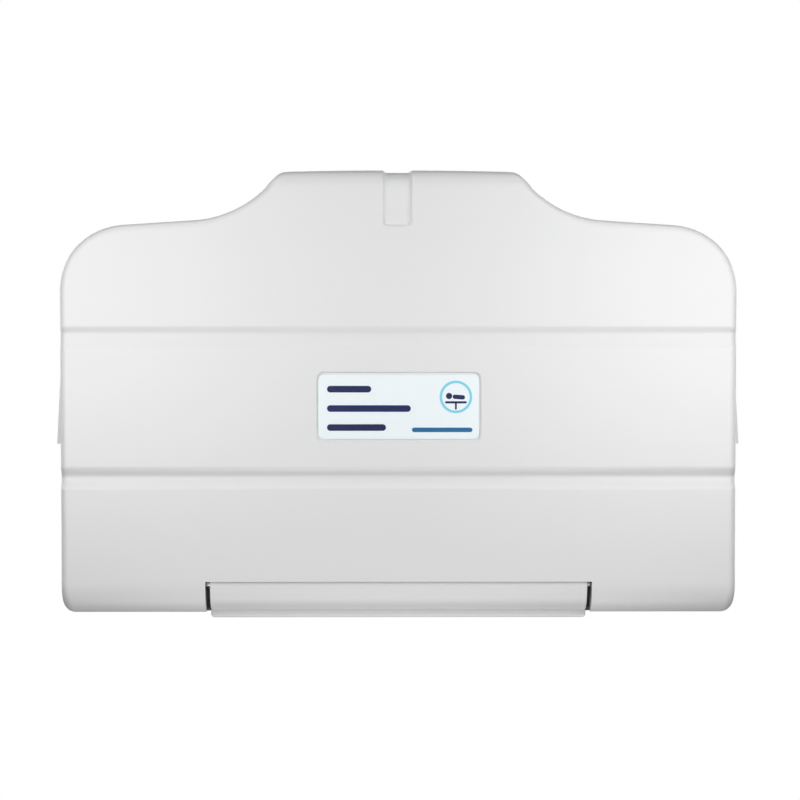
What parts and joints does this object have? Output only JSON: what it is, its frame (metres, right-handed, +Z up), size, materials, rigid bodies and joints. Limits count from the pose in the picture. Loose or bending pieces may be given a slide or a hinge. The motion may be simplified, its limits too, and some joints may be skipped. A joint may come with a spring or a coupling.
{
  "type": "changing table",
  "caption": "Wall-hung horizontal fold-down baby changing station in light grey moulded plastic; the bed turns down on a hidden shaft with two gas struts.",
  "frame": {"origin": "centre of the flat back of the housing, in the wall's plane, near mid-height", "axes": "+Y out of the object into the wall, +X along the long side to the right of someone facing the object, +Z up; the bed's front skin faces -Y"},
  "size_m": [0.891, 0.105, 0.58],
  "materials": {
    "bed_plastic": "light grey-white satin moulded polyethylene",
    "tray_plastic": "light grey-white fine-textured polyethylene",
    "bright_steel": "ground steel",
    "zinc_plate": "zinc-plated sheet steel",
    "bronze": "sintered bronze",
    "strut_black": "black enamel",
    "black_plastic": "black acetal",
    "button_red": "red acetal",
    "webbing": "dark grey woven webbing",
    "paper": "folded paper",
    "label_face": "printed pale face with plain marks"
  },
  "bodies": {
    "wall_unit": {"rear_housing": "bed_plastic", "hinge_cover": "bed_plastic", "hinge_shaft": "bright_steel", "mounting_rail_left": "zinc_plate", "mounting_rail_right": "zinc_plate", "shaft_bracket_left": "zinc_plate", "shaft_bracket_right": "zinc_plate", "strut_bracket_left": "zinc_plate", "strut_bracket_right": "zinc_plate", "strut_pin_left": "bright_steel", "strut_pin_right": "bright_steel", "strut_cylinder_left": "strut_black", "strut_cylinder_right": "strut_black", "wall_screw_1": "bright_steel", "wall_screw_2": "bright_steel", "wall_screw_3": "bright_steel", "wall_screw_4": "bright_steel", "wall_washer_1": "bright_steel", "wall_washer_2": "bright_steel", "wall_washer_3": "bright_steel", "wall_washer_4": "bright_steel", "bag_hook_left": "tray_plastic", "bag_hook_right": "tray_plastic", "liner_dispenser": "tray_plastic", "liner_stack": "paper", "instruction_panel": "label_face"},
    "bed": {"bed_outer_shell": "bed_plastic", "bed_inner_tray": "tray_plastic", "label_plate": "label_face", "hinge_arm_left": "zinc_plate", "hinge_arm_right": "zinc_plate", "hinge_bush_left": "bronze", "hinge_bush_right": "bronze", "crank_pin_left": "bright_steel", "crank_pin_right": "bright_steel", "pivot_cap_left": "bed_plastic", "pivot_cap_right": "bed_plastic", "strap_upper": "webbing", "strap_lower": "webbing", "strap_anchor_upper": "black_plastic", "strap_anchor_lower": "black_plastic", "buckle_socket": "black_plastic", "buckle_tongue": "black_plastic"},
    "strut_rod_left": {"strut_rod_left": "bright_steel"},
    "strut_rod_right": {"strut_rod_right": "bright_steel"},
    "buckle_button": {"buckle_button": "button_red"}
  },
  "joints": [
    {"name": "bed_fold", "type": "hinge", "parent": "wall_unit", "child": "bed", "pos_m": [0, -0.0605, -0.245], "axis": [1, 0, 0], "range_deg": [0, 90]},
    {"name": "strut_slide_left", "type": "slide", "parent": "wall_unit", "child": "strut_rod_left", "axis": [0, 0, 1], "range_m": [0, 0.034]},
    {"name": "strut_slide_right", "type": "slide", "parent": "wall_unit", "child": "strut_rod_right", "axis": [0, 0, 1], "range_m": [0, 0.034]},
    {"name": "buckle_press", "type": "slide", "parent": "bed", "child": "buckle_button", "axis": [0, -1, 0], "range_m": [0, 0.003], "stiffness_N_per_m": 600}
  ],
  "couplings": [
    {"joint": "strut_slide_left", "follows": "bed_fold", "m_per_rad": 0.0216},
    {"joint": "strut_slide_right", "follows": "bed_fold", "m_per_rad": 0.0216}
  ]
}
